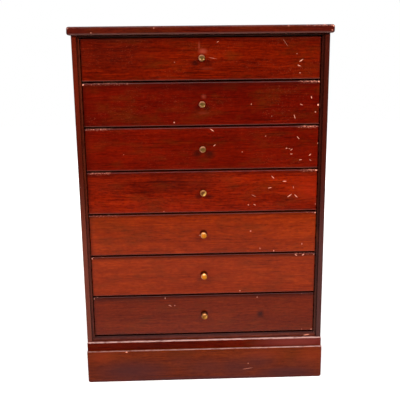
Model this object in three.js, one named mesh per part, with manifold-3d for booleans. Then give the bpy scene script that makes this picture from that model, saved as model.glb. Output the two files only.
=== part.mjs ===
// Sheet music cabinet: a mahogany carcase with seven shallow drawers, a stepped frame set back round the
// opening, an overhanging top with rounded edges and a two-step plinth.
// Millimetres, +Z up, and the drawers open towards -Y. The origin is on the floor, in the middle.
// The drawers are dovetailed, half-blind at the front and through at the back, and each one hangs on two
// hardwood runners of the carcase, which run in stopped grooves in the drawer sides.

import * as THREE from 'three';
import { mergeVertices } from 'three/addons/utils/BufferGeometryUtils.js';
import Module from 'manifold-3d';

const wasm = await Module();
wasm.setup();

// Carcase
const carcaseWidth = 502;
const carcaseDepth = 368;
const sideThickness = 15;
const sideArris = 1.25;
const bottomThickness = 10;
const bottomHousing = 5;
const backThickness = 6;
const backRebate = 8;
const backFloorGap = 3;

// Top board
const topThickness = 16;
const topOverhangSide = 7.5;
const topOverhangFront = 9;
const topArris = 4;
const topCornerExtra = 2;

// Rails under the top board, dovetailed into the sides from above
const topRailThickness = 9.5;
const topRailWidth = 60;
const topRailTail = 8;
const topRailTailRoot = 36;
const topRailBehindFront = 3;

// Frame round the opening: four mitred strips, set back behind the front edges of the sides
const trimSetback = 4.5;
const trimDepth = 8;
const trimSideWidth = 5;
const trimTopHeight = 3.5;
const trimBottomHeight = 10.5;
const trimArris = 1;

// Base: a front rail that carries the case, with the plinth board planted on it
const plinthHeight = 69.5;
const stepHeight = 17;
const baseProud = 5;
const baseBehindEdge = 16;
const baseArris = 1.25;
const plinthThickness = 8;
const plinthArris = 2.5;
const backRailThickness = 16;
const cornerBlockLeg = 28;
const cornerBlockFloorGap = 4;

// Drawers
const drawerCount = 7;
const frontHeight = 86;
const topFrontHeight = 82;
const frontThickness = 18;
const frontGap = 3;
const topFrontGap = 1.5;
const frontSideGap = 1.5;
const frontArris = 1.5;
const frontLap = 5;
const drawerSideThickness = 10;
const drawerSideDrop = 6;
const drawerBackThickness = 9;
const drawerBackDrop = 6;
const drawerRearSpace = 12;
const panelThickness = 4;
const panelLift = 9;
const panelGrooveDepth = 4.5;

// Dovetails of the drawers
const tailCount = 3;
const pinWidth = 8;
const halfPinWidth = 5;
const dovetailSlope = 1 / 7;

// Runners, let into the sides, and the grooves that ride on them
const runnerHeight = 11;
const runnerHousing = 2;
const runnerNose = 3;
const grooveDepth = 5.5;
const grooveTopGap = 0.3;
const grooveBottomGap = 0.7;
const grooveSideGap = 0.5;
const grooveStop = 8;
const drawerStopGap = 0.5;

// Turned brass knob with a dished face, and the screw that holds it through the front
const knobHeight = 42;
const knobRadius = 7;
const knobProjection = 14;
const knobRimRound = 1.5;
const knobRimWidth = 2;
const knobDish = 1;
const knobHeadDepth = 4.5;
const knobNeckRadius = 3.5;
const knobNeckRound = 3;
const knobFootRadius = 5;
const knobFootDepth = 1.5;
const screwRadius = 2;
const screwHoleGap = 0.3;
const screwHeadRadius = 4.5;
const screwHeadDepth = 2.5;

// Clearances: a glue line between pieces that are fitted together, and the overrun of a cutter
const glueLine = 0.25;
const overrun = 2;

// Fineness of the curves
const arrisSteps = 3;
const cornerSteps = 5;
const knobSteps = 24;
const holeSteps = 12;

// A rounded edge takes at most this share of the thickness that it is cut from
const arrisLimitShare = 0.4;

// Planes and levels that several pieces share
const sideOuter = carcaseWidth / 2;
const sideInner = sideOuter - sideThickness;
const backPlane = carcaseDepth - backThickness;
const trimBack = trimSetback + trimDepth;
const trimOuter = sideInner + trimSideWidth;
const baseHeight = plinthHeight + stepHeight;
const openingBottom = baseHeight + trimBottomHeight;
const pitch = frontHeight + frontGap;
const topDrawerBase = openingBottom + frontGap + (drawerCount - 1) * pitch;
const openingTop = topDrawerBase + topFrontHeight + topFrontGap;
const underTop = openingTop + trimTopHeight;
const topLevel = underTop + topThickness;

const drawerHalfWidth = sideInner - frontSideGap;
const boxHalfWidth = drawerHalfWidth - drawerSideThickness;
const frontFace = trimSetback;
const frontBack = frontFace + frontThickness;
const socketEnd = frontFace + frontLap;
const drawerRear = backPlane - drawerRearSpace;
const drawerBackInner = drawerRear - drawerBackThickness;
const grooveEnd = frontBack + grooveStop;
const grooveHeight = runnerHeight + grooveTopGap + grooveBottomGap;

const frontMost = -(baseProud + plinthThickness);

// Finishes, in the colours of the cabinet
const finishes = {
  polishedMahogany: { color: 0x74200f, roughness: 0.35, metalness: 0 },
  darkMahogany: { color: 0x5c1c10, roughness: 0.4, metalness: 0 },
  drawerBeech: { color: 0xb98a5a, roughness: 0.6, metalness: 0 },
  plywood: { color: 0xa97f55, roughness: 0.7, metalness: 0 },
  turnedBrass: { color: 0xb98a3c, roughness: 0.3, metalness: 1 },
};

// Closed three.js geometry as a solid that can be cut and joined
function toSolid(geometry) {
  const bare = geometry.clone();
  bare.deleteAttribute('normal');
  bare.deleteAttribute('uv');
  const merged = mergeVertices(bare);
  return new wasm.Manifold(new wasm.Mesh({
    numProp: 3,
    vertProperties: Float32Array.from(merged.attributes.position.array),
    triVerts: Uint32Array.from(merged.index.array),
  }));
}

// Solid back to three.js geometry
function toGeometry(solid) {
  const mesh = solid.getMesh();
  const geometry = new THREE.BufferGeometry();
  geometry.setAttribute('position', new THREE.BufferAttribute(mesh.vertProperties, mesh.numProp));
  geometry.setIndex(new THREE.BufferAttribute(mesh.triVerts, 1));
  geometry.computeVertexNormals();
  return geometry;
}

// One piece with others joined to it and then others cut away from it
function worked(geometry, { joined = [], cut = [], common = [] }) {
  let solid = toSolid(geometry);
  for (const other of common) {
    solid = solid.intersect(toSolid(other));
  }
  for (const other of joined) {
    solid = solid.add(toSolid(other));
  }
  for (const other of cut) {
    solid = solid.subtract(toSolid(other));
  }
  return toGeometry(solid);
}

// Squared block between two planes on each axis, given in either order
function slab([x0, x1], [y0, y1], [z0, z1]) {
  const block = new THREE.BoxGeometry(Math.abs(x1 - x0), Math.abs(y1 - y0), Math.abs(z1 - z0));
  return block.translate((x0 + x1) / 2, (y0 + y1) / 2, (z0 + z1) / 2);
}

// Outline through corners [a, b, radius], each corner rounded by an arc of its own radius
function outline(corners, steps = arrisSteps) {
  const points = [];
  corners.forEach(([a, b, radius = 0], index) => {
    const corner = new THREE.Vector2(a, b);
    if (radius === 0) {
      points.push(corner);
      return;
    }
    const [beforeA, beforeB] = corners[(index + corners.length - 1) % corners.length];
    const [afterA, afterB] = corners[(index + 1) % corners.length];
    const toBefore = new THREE.Vector2(beforeA, beforeB).sub(corner).normalize();
    const toAfter = new THREE.Vector2(afterA, afterB).sub(corner).normalize();
    const halfAngle = Math.acos(toBefore.dot(toAfter)) / 2;
    const middle = toBefore.clone().add(toAfter).normalize();
    const centre = corner.clone().addScaledVector(middle, radius / Math.sin(halfAngle));
    const start = corner.clone().addScaledVector(toBefore, radius / Math.tan(halfAngle)).sub(centre);
    const stop = corner.clone().addScaledVector(toAfter, radius / Math.tan(halfAngle)).sub(centre);
    const turn = Math.atan2(start.cross(stop), start.dot(stop));
    for (let step = 0; step <= steps; step++) {
      const spoke = start.clone().rotateAround(new THREE.Vector2(), (turn * step) / steps);
      points.push(spoke.add(centre));
    }
  });
  return new THREE.Shape(points);
}

// Extrusions along one axis: of an (x, y) outline along Z, and of a (y, z) outline along X
function alongZ(shape, [z0, z1]) {
  const geometry = new THREE.ExtrudeGeometry(shape, { depth: z1 - z0, bevelEnabled: false });
  return geometry.translate(0, 0, z0);
}

function alongX(shape, [x0, x1]) {
  const low = Math.min(x0, x1);
  const geometry = new THREE.ExtrudeGeometry(shape, { depth: Math.abs(x1 - x0), bevelEnabled: false });
  const turned = new THREE.Matrix4().set(0, 0, 1, low, 1, 0, 0, 0, 0, 1, 0, 0, 0, 0, 0, 1);
  return geometry.applyMatrix4(turned);
}

// Board with its front edges rounded: a lengthwise section crossed with a section through its height
function easedBoard([x0, x1], [front, back], [z0, z1], { top = 0, bottom = 0, ends = 0 }) {
  const section = outline([[front, z0, bottom], [back, z0], [back, z1], [front, z1, top]]);
  const plan = outline([[x0, front, ends], [x1, front, ends], [x1, back], [x0, back]]);
  return worked(alongX(section, [x0, x1]), { common: [alongZ(plan, [z0, z1])] });
}

// Top board: rounded corners in plan at the front, rounded upper and lower edges, square at the back
function topBoard() {
  const arris = Math.min(topArris, topThickness * arrisLimitShare);
  const halfWidth = sideOuter + topOverhangSide;
  const corner = arris + topCornerExtra;
  const plan = outline([
    [-halfWidth, -topOverhangFront, corner],
    [halfWidth, -topOverhangFront, corner],
    [halfWidth, carcaseDepth + arris + overrun],
    [-halfWidth, carcaseDepth + arris + overrun],
  ], cornerSteps);
  const board = new THREE.ExtrudeGeometry(plan, {
    depth: topThickness - 2 * arris,
    bevelThickness: arris,
    bevelSize: arris,
    bevelOffset: -arris,
    bevelSegments: arrisSteps,
  });
  board.translate(0, 0, underTop + arris);
  const wide = halfWidth + overrun;
  const kept = slab([-wide, wide], [-wide, carcaseDepth], [underTop - overrun, topLevel + overrun]);
  return worked(board, { common: [kept] });
}

// Level of the lower edge of a drawer, numbered from the top
function drawerBase(number) {
  return openingBottom + frontGap + (drawerCount - number) * pitch;
}

// Heights of one drawer's parts, above its lower edge
function drawerHeights(number) {
  const front = number === 1 ? topFrontHeight : frontHeight;
  const side = front - drawerSideDrop;
  const grooveLow = (side - grooveHeight) / 2;
  return {
    front,
    side,
    grooveLow,
    grooveHigh: grooveLow + grooveHeight,
    runnerLow: grooveLow + grooveBottomGap,
    backLow: panelLift + panelThickness + 2 * glueLine,
    backHigh: side - drawerBackDrop,
  };
}

// Side of the carcase, on the left (-1) or right (+1), with its seven runners
function carcaseSide(hand) {
  const top = underTop - glueLine;
  const rebateInner = trimOuter + glueLine;
  const plan = outline([
    [hand * sideOuter, 0, sideArris],
    [hand * sideOuter, carcaseDepth],
    [hand * (sideInner + backRebate), carcaseDepth],
    [hand * (sideInner + backRebate), backPlane - glueLine],
    [hand * sideInner, backPlane - glueLine],
    [hand * sideInner, trimBack + glueLine],
    [hand * rebateInner, trimBack + glueLine],
    [hand * rebateInner, 0, sideArris],
  ]);
  const runners = [];
  for (let number = 1; number <= drawerCount; number++) {
    runners.push(runner(hand, number));
  }
  const baseNotch = slab(
    [hand * (sideInner - overrun), hand * (sideOuter + overrun)],
    [-overrun, baseBehindEdge + glueLine],
    [-overrun, baseHeight + glueLine],
  );
  const bottomGroove = slab(
    [hand * (sideInner - overrun), hand * (sideInner + bottomHousing)],
    [trimBack, carcaseDepth + overrun],
    [baseHeight, baseHeight + bottomThickness + 2 * glueLine],
  );
  const railSockets = topRailFronts.map((front) => alongZ(
    topRailTailPlan(hand, front, glueLine),
    [underTop - topRailThickness - 2 * glueLine, underTop + overrun],
  ));
  return worked(alongZ(plan, [0, top]), {
    joined: runners,
    cut: [baseNotch, bottomGroove, ...railSockets],
  });
}

// Hardwood runner, let into the side and rounded at its front end so that the drawer goes on easily
function runner(hand, number) {
  const heights = drawerHeights(number);
  const low = drawerBase(number) + heights.runnerLow;
  const face = drawerHalfWidth - grooveDepth + grooveSideGap;
  const plan = outline([
    [hand * (sideInner + runnerHousing), grooveEnd + drawerStopGap],
    [hand * face, grooveEnd + drawerStopGap, runnerNose],
    [hand * face, backPlane - glueLine],
    [hand * (sideInner + runnerHousing), backPlane - glueLine],
  ]);
  return alongZ(plan, [low, low + runnerHeight]);
}

// Front edges of the two rails under the top, and the dovetail at a rail's end, seen from above
const topRailFronts = [frontBack + topRailBehindFront, backPlane - glueLine - topRailWidth];

function topRailTailPlan(hand, front, gap) {
  const middle = front + topRailWidth / 2;
  const root = topRailTailRoot / 2 + gap;
  const flare = (topRailTail + overrun) * dovetailSlope;
  const inner = sideInner - overrun;
  const outer = sideInner + topRailTail + gap;
  return outline([
    [hand * inner, middle - root],
    [hand * outer, middle - root - flare],
    [hand * outer, middle + root + flare],
    [hand * inner, middle + root],
  ]);
}

function topRail(front) {
  const half = sideInner - glueLine;
  const levels = [underTop - topRailThickness - glueLine, underTop - glueLine];
  const bar = slab([-half, half], [front, front + topRailWidth], levels);
  const tails = [-1, 1].map((hand) => alongZ(topRailTailPlan(hand, front, 0), levels));
  return worked(bar, { joined: tails });
}

// Strip of the frame round the opening, mitred at both ends. It starts at the middle of its outer edge,
// at the front, and inward points from there across the strip towards the opening.
function trimStrip(origin, inward, { breadth, length, startBreadth, stopBreadth }) {
  const section = outline([[0, 0], [breadth, 0, trimArris], [breadth, trimDepth], [0, trimDepth]]);
  const strip = new THREE.ExtrudeGeometry(section, { depth: 1, bevelEnabled: false });
  const backward = new THREE.Vector3(0, 1, 0);
  const along = new THREE.Vector3().crossVectors(inward, backward);
  const place = strip.attributes.position;
  const point = new THREE.Vector3();
  for (let i = 0; i < place.count; i++) {
    const across = place.getX(i);
    const deep = place.getY(i);
    const atStart = place.getZ(i) === 0;
    const mitre = (across / breadth) * (atStart ? startBreadth : -stopBreadth);
    const end = atStart ? glueLine - length / 2 : length / 2 - glueLine;
    point.copy(origin).addScaledVector(inward, across).addScaledVector(backward, deep);
    point.addScaledVector(along, end + mitre);
    place.setXYZ(i, point.x, point.y, point.z);
  }
  strip.computeVertexNormals();
  return strip;
}

function trimSide(hand) {
  const bottomEdge = baseHeight + glueLine;
  const topEdge = underTop - glueLine;
  const origin = new THREE.Vector3(hand * trimOuter, trimSetback, (bottomEdge + topEdge) / 2);
  const breadths = [trimBottomHeight, trimTopHeight];
  const [startBreadth, stopBreadth] = hand < 0 ? breadths : breadths.reverse();
  return trimStrip(origin, new THREE.Vector3(-hand, 0, 0), {
    breadth: trimSideWidth, length: topEdge - bottomEdge, startBreadth, stopBreadth,
  });
}

function trimCross(level, up, breadth) {
  const origin = new THREE.Vector3(0, trimSetback, level);
  return trimStrip(origin, new THREE.Vector3(0, 0, up), {
    breadth: breadth - glueLine, length: 2 * trimOuter, startBreadth: trimSideWidth, stopBreadth: trimSideWidth,
  });
}

// Triangular block glued into a corner of the base, under the bottom board
function cornerBlock(hand, wall, away) {
  const side = hand * (sideInner - glueLine);
  const plan = outline([
    [side, wall],
    [side - hand * cornerBlockLeg, wall],
    [side, wall + away * cornerBlockLeg],
  ]);
  return alongZ(plan, [cornerBlockFloorGap, baseHeight]);
}

// Tails of a drawer side: where each one starts and ends at its root, above the drawer's lower edge
function tailsOf(height) {
  const tails = [];
  const width = (height - 2 * halfPinWidth - (tailCount - 1) * pinWidth) / tailCount;
  for (let index = 0; index < tailCount; index++) {
    const low = halfPinWidth + index * (width + pinWidth);
    tails.push({ low, high: low + width });
  }
  return tails;
}

// Socket for one tail, as a (y, z) outline that runs from beyond the root to the given end
function socket({ low, high }, root, end, endRun) {
  const away = Math.sign(end - root);
  const start = root - away * overrun;
  const stop = end + away * endRun;
  const narrow = overrun * dovetailSlope - glueLine;
  const flare = Math.abs(stop - root) * dovetailSlope + glueLine;
  return outline([[start, low + narrow], [start, high - narrow], [stop, high + flare], [stop, low - flare]]);
}

// Drawer side: dovetails at both ends, a stopped groove outside for the runner, one inside for the bottom
function drawerSide(hand, heights) {
  const tails = tailsOf(heights.side);
  const tailEnd = socketEnd + glueLine;
  const shoulder = frontBack + glueLine;
  const rearShoulder = drawerBackInner - glueLine;
  const frontFlare = (shoulder - tailEnd) * dovetailSlope;
  const rearFlare = (drawerRear - rearShoulder) * dovetailSlope;
  const corners = [[shoulder, 0]];
  for (const { low, high } of tails) {
    corners.push([shoulder, low], [tailEnd, low - frontFlare], [tailEnd, high + frontFlare], [shoulder, high]);
  }
  corners.push([shoulder, heights.side], [drawerRear, heights.side]);
  for (let upper = tails.length - 1; upper > 0; upper--) {
    const pinHigh = tails[upper].low;
    const pinLow = tails[upper - 1].high;
    corners.push([drawerRear, pinHigh - rearFlare], [rearShoulder, pinHigh]);
    corners.push([rearShoulder, pinLow], [drawerRear, pinLow + rearFlare]);
  }
  corners.push([drawerRear, 0]);
  const runnerGroove = slab(
    [hand * (drawerHalfWidth - grooveDepth), hand * (drawerHalfWidth + overrun)],
    [grooveEnd, drawerRear + overrun],
    [heights.grooveLow, heights.grooveHigh],
  );
  const panelGroove = slab(
    [hand * (boxHalfWidth - overrun), hand * (boxHalfWidth + panelGrooveDepth)],
    [0, drawerRear + overrun],
    [panelLift, panelLift + panelThickness + 2 * glueLine],
  );
  const board = alongX(outline(corners), [hand * boxHalfWidth, hand * drawerHalfWidth]);
  return worked(board, { cut: [runnerGroove, panelGroove] });
}

// Drawer front: rounded front edges, sockets for the tails, a groove for the bottom, a hole for the knob
function drawerFront(heights) {
  const ease = { top: frontArris, bottom: frontArris, ends: frontArris };
  const levels = [0, heights.front];
  const board = easedBoard([-drawerHalfWidth, drawerHalfWidth], [frontFace, frontBack], levels, ease);
  const cut = [];
  for (const hand of [-1, 1]) {
    const reach = [hand * (boxHalfWidth - glueLine), hand * (drawerHalfWidth + overrun)];
    for (const tail of tailsOf(heights.side)) {
      cut.push(alongX(socket(tail, frontBack, socketEnd, 0), reach));
    }
  }
  const panelReach = boxHalfWidth + panelGrooveDepth;
  cut.push(slab(
    [-panelReach, panelReach],
    [frontBack - panelGrooveDepth, frontBack + overrun],
    [panelLift, panelLift + panelThickness + 2 * glueLine],
  ));
  const hole = new THREE.CylinderGeometry(
    screwRadius + screwHoleGap, screwRadius + screwHoleGap, frontThickness + 2 * overrun, holeSteps,
  );
  cut.push(hole.translate(0, (frontFace + frontBack) / 2, knobHeight));
  return worked(board, { cut });
}

// Drawer back: sockets right through it for the tails of the sides, above the bottom that slides under it
function drawerBack(heights) {
  const board = slab(
    [-drawerHalfWidth, drawerHalfWidth],
    [drawerBackInner, drawerRear],
    [heights.backLow, heights.backHigh],
  );
  const tails = tailsOf(heights.side);
  tails[0].low = -overrun;
  tails[tails.length - 1].high = heights.side + overrun;
  const cut = [];
  for (const hand of [-1, 1]) {
    const reach = [hand * (boxHalfWidth - glueLine), hand * (drawerHalfWidth + overrun)];
    for (const tail of tails) {
      cut.push(alongX(socket(tail, drawerBackInner, drawerRear, overrun), reach));
    }
  }
  return worked(board, { cut });
}

// Thin drawer bottom, in the grooves of the sides and the front
function drawerBottom() {
  const half = boxHalfWidth + panelGrooveDepth - glueLine;
  const low = panelLift + glueLine;
  const front = frontBack - panelGrooveDepth + glueLine;
  return slab([-half, half], [front, drawerRear], [low, low + panelThickness]);
}

// Knob turned about its own axis, with its screw through the front and the screw's head inside
function knob() {
  const profile = [];
  const arc = (radiusCentre, alongCentre, radius, from, to, steps) => {
    for (let step = 0; step <= steps; step++) {
      const angle = from + ((to - from) * step) / steps;
      const across = radiusCentre + radius * Math.cos(angle);
      profile.push(new THREE.Vector2(across, alongCentre + radius * Math.sin(angle)));
    }
  };
  const shoulder = glueLine;
  const headBack = knobProjection - knobHeadDepth;
  const headMiddle = knobRadius - knobRimRound;
  const inside = -(frontThickness + glueLine);
  profile.push(new THREE.Vector2(0, knobProjection - knobDish));
  profile.push(new THREE.Vector2(knobRadius - knobRimRound - knobRimWidth, knobProjection - knobDish));
  arc(headMiddle, knobProjection - knobRimRound, knobRimRound, Math.PI / 2, 0, arrisSteps);
  arc(headMiddle, headBack + knobRimRound, knobRimRound, 0, -Math.PI / 2, arrisSteps);
  arc(knobNeckRadius + knobNeckRound, headBack - knobNeckRound, knobNeckRound, Math.PI / 2, Math.PI, arrisSteps);
  profile.push(new THREE.Vector2(knobNeckRadius, shoulder + knobFootDepth));
  profile.push(new THREE.Vector2(knobFootRadius, shoulder + knobFootDepth));
  profile.push(new THREE.Vector2(knobFootRadius, shoulder));
  profile.push(new THREE.Vector2(screwRadius, shoulder));
  profile.push(new THREE.Vector2(screwRadius, inside));
  profile.push(new THREE.Vector2(screwHeadRadius, inside));
  profile.push(new THREE.Vector2(screwHeadRadius, inside - screwHeadDepth));
  profile.push(new THREE.Vector2(0, inside - screwHeadDepth));
  const turned = new THREE.LatheGeometry(profile.reverse(), knobSteps);
  return turned.rotateX(Math.PI).translate(0, frontFace, knobHeight);
}

const cabinet = new THREE.Group();
cabinet.position.y = -(frontMost + carcaseDepth) / 2;

function piece(name, geometry, finish, parent = cabinet) {
  const mesh = new THREE.Mesh(geometry, new THREE.MeshStandardMaterial(finish));
  mesh.name = name;
  parent.add(mesh);
}

// Carcase
const { polishedMahogany, darkMahogany, drawerBeech, plywood, turnedBrass } = finishes;
const hands = { left: -1, right: 1 };
const between = [-(sideInner - glueLine), sideInner - glueLine];
piece('top_board', topBoard(), polishedMahogany);
for (const [word, hand] of Object.entries(hands)) {
  piece(`carcase_side_${word}`, carcaseSide(hand), darkMahogany);
  piece(`frame_strip_${word}`, trimSide(hand), darkMahogany);
}
piece('frame_strip_top', trimCross(underTop - glueLine, -1, trimTopHeight), darkMahogany);
piece('frame_strip_bottom', trimCross(baseHeight + glueLine, 1, trimBottomHeight), darkMahogany);
piece('top_rail_front', topRail(topRailFronts[0]), drawerBeech);
piece('top_rail_back', topRail(topRailFronts[1]), drawerBeech);

const housed = sideInner + bottomHousing - glueLine;
const bottomLevels = [baseHeight + glueLine, baseHeight + glueLine + bottomThickness];
piece('bottom_board', slab([-housed, housed], [trimBack + glueLine, backPlane - glueLine], bottomLevels), plywood);

const backHalf = sideInner + backRebate - glueLine;
const backLevels = [backFloorGap, underTop - glueLine];
piece('back_panel', slab([-backHalf, backHalf], [backPlane, carcaseDepth], backLevels), plywood);

// Base
const fullWidth = [-sideOuter, sideOuter];
const baseEase = { top: baseArris, ends: baseArris };
const plinthEase = { top: plinthArris, ends: baseArris };
const baseFront = -baseProud;
piece('base_rail_front', easedBoard(fullWidth, [baseFront, baseBehindEdge], [0, baseHeight], baseEase), darkMahogany);
const plinthPlanes = [frontMost, baseFront - glueLine];
piece('plinth_board', easedBoard(fullWidth, plinthPlanes, [0, plinthHeight], plinthEase), polishedMahogany);
const backRailPlanes = [backPlane - glueLine - backRailThickness, backPlane - glueLine];
piece('base_rail_back', slab(between, backRailPlanes, [0, baseHeight]), drawerBeech);
for (const [word, hand] of Object.entries(hands)) {
  piece(`corner_block_front_${word}`, cornerBlock(hand, baseBehindEdge + glueLine, 1), drawerBeech);
  piece(`corner_block_back_${word}`, cornerBlock(hand, backRailPlanes[0] - glueLine, -1), drawerBeech);
}

// Drawers, numbered from the top
for (let number = 1; number <= drawerCount; number++) {
  const heights = drawerHeights(number);
  const drawer = new THREE.Group();
  drawer.position.z = drawerBase(number);
  cabinet.add(drawer);
  piece(`drawer_${number}_front`, drawerFront(heights), polishedMahogany, drawer);
  for (const [word, hand] of Object.entries(hands)) {
    piece(`drawer_${number}_side_${word}`, drawerSide(hand, heights), drawerBeech, drawer);
  }
  piece(`drawer_${number}_back`, drawerBack(heights), drawerBeech, drawer);
  piece(`drawer_${number}_bottom`, drawerBottom(), plywood, drawer);
  piece(`drawer_${number}_knob`, knob(), turnedBrass, drawer);
}

export default cabinet;
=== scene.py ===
import functools
import math

import bmesh
import bpy
from mathutils import Matrix, Vector, noise


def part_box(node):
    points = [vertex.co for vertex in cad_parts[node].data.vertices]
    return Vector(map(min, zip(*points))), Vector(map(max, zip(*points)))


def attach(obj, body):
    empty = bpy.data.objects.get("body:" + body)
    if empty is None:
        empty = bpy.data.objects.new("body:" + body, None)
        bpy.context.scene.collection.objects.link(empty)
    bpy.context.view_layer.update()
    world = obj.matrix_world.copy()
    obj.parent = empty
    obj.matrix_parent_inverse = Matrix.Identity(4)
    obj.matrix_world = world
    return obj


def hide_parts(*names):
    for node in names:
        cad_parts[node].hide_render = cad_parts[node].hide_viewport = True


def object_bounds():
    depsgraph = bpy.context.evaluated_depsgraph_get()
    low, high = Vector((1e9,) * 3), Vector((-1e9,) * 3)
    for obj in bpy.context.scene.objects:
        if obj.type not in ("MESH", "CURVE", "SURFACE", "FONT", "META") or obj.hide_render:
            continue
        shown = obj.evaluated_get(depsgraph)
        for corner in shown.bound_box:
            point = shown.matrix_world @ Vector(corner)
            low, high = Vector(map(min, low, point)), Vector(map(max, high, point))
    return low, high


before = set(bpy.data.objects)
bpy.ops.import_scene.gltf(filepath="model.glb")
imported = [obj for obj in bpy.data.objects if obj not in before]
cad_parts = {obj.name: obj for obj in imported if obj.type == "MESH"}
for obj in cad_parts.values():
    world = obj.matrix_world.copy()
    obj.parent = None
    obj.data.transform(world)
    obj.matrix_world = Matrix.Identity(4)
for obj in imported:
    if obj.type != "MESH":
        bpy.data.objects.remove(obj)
cad_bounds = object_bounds()

MM = 0.001
DRAWERS = range(1, 8)
HANDS = {"left": -1, "right": 1}


# Colours and nodes

def colour(code):
    """An sRGB hex colour as linear red, green, blue and alpha."""
    shares = [int(code[start:start + 2], 16) / 255 for start in (1, 3, 5)]
    return [s / 12.92 if s <= 0.04045 else ((s + 0.055) / 1.055) ** 2.4 for s in shares] + [1]


def toned(code, times):
    """A colour with its linear red, green and blue made so many times as strong."""
    return [value * by for value, by in zip(colour(code), times)] + [1]


def add_node(tree, kind, inputs=(), out=0, **settings):
    """Adds a node; inputs come in order or by name, and one given as a socket is linked.

    A kind without Node in its name is a shader node, such as Math.
    """
    made = tree.nodes.new(kind if "Node" in kind else f"ShaderNode{kind}")
    for name, value in settings.items():
        setattr(made, name, value)
    for key, value in inputs.items() if isinstance(inputs, dict) else enumerate(inputs):
        if isinstance(value, bpy.types.NodeSocket):
            tree.links.new(value, made.inputs[key])
        else:
            made.inputs[key].default_value = value
    return made.outputs if out is None else made.outputs[out]


def new_tree(kind, name, inputs, made):
    """An empty tree with these named inputs, the function that adds nodes to it and what it is given."""
    tree = bpy.data.node_groups.new(name, f"{kind}NodeTree")
    for label, value in inputs.items():
        tree.interface.new_socket(label, in_out="INPUT", socket_type=f"NodeSocket{value}")
    tree.interface.new_socket("Made", in_out="OUTPUT", socket_type=f"NodeSocket{made}")
    return tree, functools.partial(add_node, tree), tree.nodes.new("NodeGroupInput").outputs


def new_material(name):
    """An empty material, the function that adds nodes to it and the place on the piece, in metres."""
    material = bpy.data.materials.new(name)
    material.use_nodes = True
    material.node_tree.nodes.clear()
    add = functools.partial(add_node, material.node_tree)
    return material, add, add("TexCoord", out="Object")


def finished(add, base, roughness, height, relief, constants):
    """Ends a material; relief is the depth in metres of its bumps, and constants are set on the shader."""
    bump = add("Bump", {"Strength": 1.0, "Distance": relief, "Height": height})
    shader = add("BsdfPrincipled", {"Base Color": base, "Roughness": roughness, "Normal": bump, **constants})
    add("OutputMaterial", {"Surface": shader}, out=None)


def layered(add, base, layers):
    """Lays colours over a base, one after the other, each as far as its share from 0 to 1 goes."""
    for share, over in layers:
        base = add("Mix", {0: share, 6: base, 7: over}, out=2, data_type="RGBA")
    return base


def product(add, *values):
    """Values multiplied together."""
    times = functools.partial(add, "Math", operation="MULTIPLY")
    return functools.reduce(lambda first, second: times((first, second)), values)


def along(add, place, axis, start, stop, first=0.0, last=1.0):
    """Goes from first to last where the place goes from start to stop on an axis."""
    return add("MapRange", (add("SeparateXYZ", (place,), out=axis), start, stop, first, last))


FOREMOST = 0.6


def at_front(add, place, box, depth, last=1.0):
    """Nothing from so many mm behind the front of a piece, and last on the foremost part of that."""
    front = box[0].y
    return along(add, place, "Y", front + depth * MM, front + FOREMOST * depth * MM, 0.0, last)


def round_axis(add, place, centre):
    """The way from a knob's middle to a place, flat on the front, and its length."""
    offset = add("VectorMath", (place, centre), operation="SUBTRACT")
    flat = add("VectorMath", (offset, (1, 0, 1)), operation="MULTIPLY")
    return flat, add("VectorMath", (flat,), out="Value", operation="LENGTH")


def moved(add, place, seed, steps):
    """The place moved by the seed times these steps, so that no two boards have the same figure."""
    return add("VectorMath", (place, [seed * step for step in steps]), operation="ADD")


def drawn_out(add, place, grain, length, width, detail=2.0, roughness=0.5):
    """Noise whose marks are so long along the grain and so wide across it, in mm."""
    scale = [1 / (length * MM) if axis == grain else 1 / (width * MM) for axis in "xyz"]
    scaled = add("VectorMath", (place, scale), operation="MULTIPLY")
    return add("TexNoise", {"Vector": scaled, "Scale": 1.0, "Detail": detail, "Roughness": roughness})


# Scratches, chips, stains, painted shadows, painted reflections and painted light: ovals at their places on
# a board. Each has an outer edge, where it starts, and an inner one, where it is whole, as shares of its
# size.

CRISP = (1.15, 0.6)
SOFT = (1.7, 0.1)
MARK_DEPTH = 3.0


def mark_group():
    """Node group: one oval round a place on the face, turned in its plane."""
    tree, add, given = new_tree("Shader", "oval_mask", {
        "Place": "Vector", "Centre": "Vector", "Half size": "Vector", "Turn": "Float", "Strength": "Float",
        "Outer": "Float", "Inner": "Float",
    }, "Float")
    centre = given["Centre"]
    turned = add("VectorRotate", {"Vector": given["Place"], "Center": centre, "Angle": given["Turn"]},
                 rotation_type="Y_AXIS")
    offset = add("VectorMath", (turned, centre), operation="SUBTRACT")
    shares = add("VectorMath", (offset, given["Half size"]), operation="DIVIDE")
    reach = add("VectorMath", (shares,), out="Value", operation="LENGTH")
    shape = add("MapRange", (reach, given["Outer"], given["Inner"]), interpolation_type="SMOOTHSTEP")
    add("NodeGroupOutput", (product(add, shape, given["Strength"]),), out=None)
    return tree


oval_mask = mark_group()


def marked(add, place, box, marks, edges):
    """The strongest of a board's marks; each is mm across, mm up, length, width, turn and strength."""
    low = box[0]
    strongest = 0.0
    for across, up, length, width, turn, strength in marks:
        found = add("Group", {
            "Place": place, "Centre": (low.x + across * MM, low.y, low.z + up * MM),
            "Half size": (length / 2 * MM, MARK_DEPTH * MM, width / 2 * MM), "Turn": math.radians(turn),
            "Strength": strength, "Outer": edges[0], "Inner": edges[1],
        }, node_tree=oval_mask)
        strongest = add("Math", (strongest, found), operation="MAXIMUM")
    return strongest


# Coats laid over polished mahogany, some of them painted shade and painted highlights. Each is a function
# that gives its share, its colour and how much it dulls the gloss. Their sizes are in mm.

PALE_SCRATCH = "#ffa486"
RUBBED = "#dd8468"
# Pale of the ledges: partly rubbed, dusty wood and partly a painted highlight
RUBBED_AND_LIT_LEDGE = "#e0b0a6"
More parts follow.
